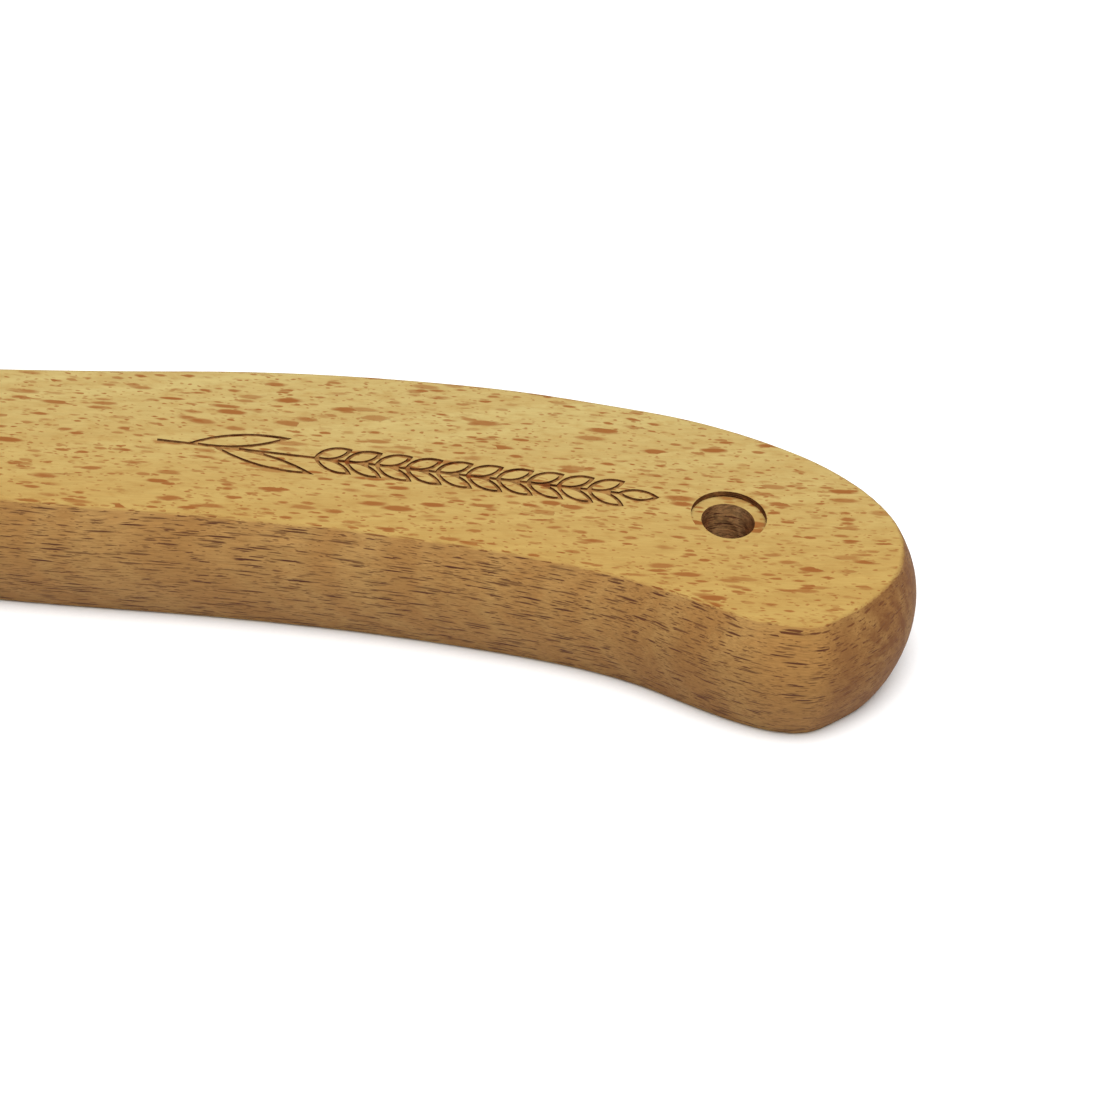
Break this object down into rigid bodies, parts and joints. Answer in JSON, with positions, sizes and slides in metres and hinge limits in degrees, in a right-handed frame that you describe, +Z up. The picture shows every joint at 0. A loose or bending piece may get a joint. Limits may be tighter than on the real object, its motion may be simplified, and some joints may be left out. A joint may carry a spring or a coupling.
{
  "type": "bread lame",
  "caption": "Bread-scoring lame: flat curved wooden handle with a hanging hole, and a slim steel stick that carries a bent double-edge razor blade.",
  "frame": {"origin": "centre of the footprint of the whole object, on the flat face it lies on", "axes": "+X along the handle from the blade to the butt, +Y from its belly to its spine, +Z up, out of the flat face that carries the engraving"},
  "size_m": [0.1832, 0.039, 0.0135],
  "materials": {
    "beech": "oiled, fine sanded",
    "stainless_sheet": "brushed",
    "rivet_brass": "ground flush",
    "blade_steel": "polished"
  },
  "bodies": {
    "lame": {"handle": "beech", "blade_holder": "stainless_sheet", "front_rivet_barrel": "rivet_brass", "front_rivet_stud": "rivet_brass", "rear_rivet_barrel": "rivet_brass", "rear_rivet_stud": "rivet_brass"},
    "blade": {"razor_blade": "blade_steel"}
  },
  "joints": [
    {"name": "blade_slide", "type": "slide", "parent": "lame", "child": "blade", "axis": [-1, 0, 0], "range_m": [-0.006, 0.04]}
  ]
}
